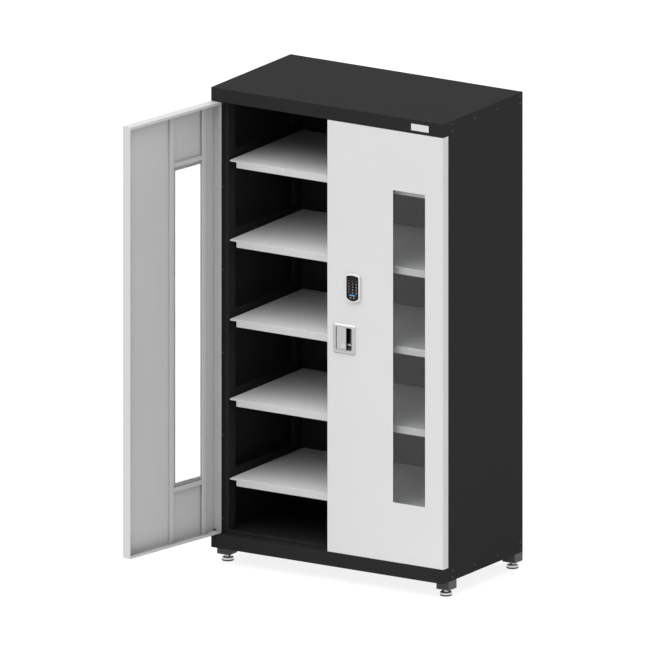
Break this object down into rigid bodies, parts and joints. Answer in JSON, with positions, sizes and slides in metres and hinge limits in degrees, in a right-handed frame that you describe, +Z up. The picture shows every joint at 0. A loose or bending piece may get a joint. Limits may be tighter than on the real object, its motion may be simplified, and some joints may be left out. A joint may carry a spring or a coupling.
{
  "type": "desiccator cabinet",
  "caption": "Tall two-door steel storage cabinet with window panels in white doors, black carcass, white shelves, recessed pull handle, keypad lock and levelling feet.",
  "frame": {"origin": "on the floor under the middle of the carcass's width and depth", "axes": "+X to the cabinet's right as seen from the front, +Y to its back, +Z up"},
  "size_m": [1.0866, 1.0272, 1.8],
  "materials": {
    "black_powder_coat": "satin black powder coat on folded steel",
    "white_powder_coat": "satin white powder coat on folded steel",
    "grey_powder_coat": "grey powder coat on pressed steel",
    "clear_glass": "clear float glass",
    "black_foam": "closed-cell foam strip",
    "white_tape": "white glazing tape",
    "nylon": "natural nylon",
    "zinc_plated_steel": "zinc-plated steel",
    "dark_fasteners": "dark rivets",
    "satin_zinc": "satin-plated die-cast zinc",
    "polished_lock": "plated lock cylinder",
    "white_plastic": "white moulded plastic",
    "black_touch_face": "glossy black touch face",
    "white_plate": "bare white plate",
    "chromed_steel": "bright plated steel",
    "black_rubber": "moulded rubber"
  },
  "bodies": {
    "cabinet": {"top_tray": "black_powder_coat", "base_tray": "black_powder_coat", "side_panel_left": "black_powder_coat", "side_panel_right": "black_powder_coat", "back_panel": "black_powder_coat", "post_front_left": "black_powder_coat", "post_front_right": "black_powder_coat", "post_rear_left": "black_powder_coat", "post_rear_right": "black_powder_coat", "shelf_1": "white_powder_coat", "shelf_2": "white_powder_coat", "shelf_3": "white_powder_coat", "shelf_4": "white_powder_coat", "shelf_5": "white_powder_coat", "shelf_rails_left": "black_powder_coat", "shelf_rails_right": "black_powder_coat", "door_seal": "black_foam", "hinge_pins": "zinc_plated_steel", "leg_brackets": "grey_powder_coat", "foot_nuts": "zinc_plated_steel", "side_rivets": "dark_fasteners", "post_screws": "zinc_plated_steel", "name_plate": "white_plate"},
    "left_door": {"left_door_panel": "white_powder_coat", "left_door_channels": "white_powder_coat", "left_window_rails": "white_powder_coat", "left_window_glass": "clear_glass", "left_window_tape": "white_tape", "left_hinge_brackets": "white_powder_coat", "left_hinge_bushes": "nylon"},
    "right_door": {"right_door_panel": "white_powder_coat", "right_door_channels": "white_powder_coat", "right_window_rails": "white_powder_coat", "right_window_glass": "clear_glass", "right_window_tape": "white_tape", "right_hinge_brackets": "white_powder_coat", "right_hinge_bushes": "nylon", "handle_housing": "satin_zinc", "handle_pin": "zinc_plated_steel", "keypad_housing": "white_plastic", "keypad_face": "black_touch_face", "battery_case": "nylon", "lock_case": "zinc_plated_steel", "rod_guides": "nylon"},
    "handle_paddle": {"handle_paddle": "satin_zinc"},
    "key_cylinder": {"key_cylinder": "polished_lock"},
    "lock_pinion": {"lock_pinion": "zinc_plated_steel"},
    "upper_rod": {"upper_rod": "zinc_plated_steel"},
    "lower_rod": {"lower_rod": "zinc_plated_steel"},
    "foot_front_left": {"foot_front_left": "chromed_steel", "foot_pad_front_left": "black_rubber"},
    "foot_front_right": {"foot_front_right": "chromed_steel", "foot_pad_front_right": "black_rubber"},
    "foot_rear_left": {"foot_rear_left": "chromed_steel", "foot_pad_rear_left": "black_rubber"},
    "foot_rear_right": {"foot_rear_right": "chromed_steel", "foot_pad_rear_right": "black_rubber"}
  },
  "joints": [
    {"name": "left_door_hinge", "type": "hinge", "parent": "cabinet", "child": "left_door", "pos_m": [-0.491, -0.265, 0.931], "axis": [0, 0, 1], "range_deg": [-10, 100]},
    {"name": "right_door_hinge", "type": "hinge", "parent": "cabinet", "child": "right_door", "pos_m": [0.491, -0.265, 0.931], "axis": [0, 0, 1], "range_deg": [0, 110]},
    {"name": "handle_pull", "type": "hinge", "parent": "right_door", "child": "handle_paddle", "pos_m": [0.0437, -0.2745, 0.9302], "axis": [0, 0, -1], "range_deg": [0, 35], "stiffness_Nm_per_rad": 0.15, "springref_deg": -17.19},
    {"name": "key_turn", "type": "hinge", "parent": "handle_paddle", "child": "key_cylinder", "pos_m": [0.0727, -0.275, 0.903], "axis": [0, 1, 0], "range_deg": [0, 90]},
    {"name": "lock_turn", "type": "hinge", "parent": "right_door", "child": "lock_pinion", "pos_m": [0.0677, -0.2465, 0.9302], "axis": [0, 1, 0], "range_deg": [0, 90]},
    {"name": "upper_rod_throw", "type": "slide", "parent": "right_door", "child": "upper_rod", "axis": [0, 0, 1], "range_m": [0, 0.01178]},
    {"name": "lower_rod_throw", "type": "slide", "parent": "right_door", "child": "lower_rod", "axis": [0, 0, -1], "range_m": [0, 0.01178]},
    {"name": "foot_front_left_height", "type": "slide", "parent": "cabinet", "child": "foot_front_left", "axis": [0, 0, -1], "range_m": [0, 0.015]},
    {"name": "foot_front_right_height", "type": "slide", "parent": "cabinet", "child": "foot_front_right", "axis": [0, 0, -1], "range_m": [0, 0.015]},
    {"name": "foot_rear_left_height", "type": "slide", "parent": "cabinet", "child": "foot_rear_left", "axis": [0, 0, -1], "range_m": [0, 0.015]},
    {"name": "foot_rear_right_height", "type": "slide", "parent": "cabinet", "child": "foot_rear_right", "axis": [0, 0, -1], "range_m": [0, 0.015]}
  ],
  "couplings": [
    {"joint": "lock_turn", "follows": "upper_rod_throw", "rad_per_m": 133.33},
    {"joint": "lower_rod_throw", "follows": "upper_rod_throw", "ratio": 1}
  ]
}
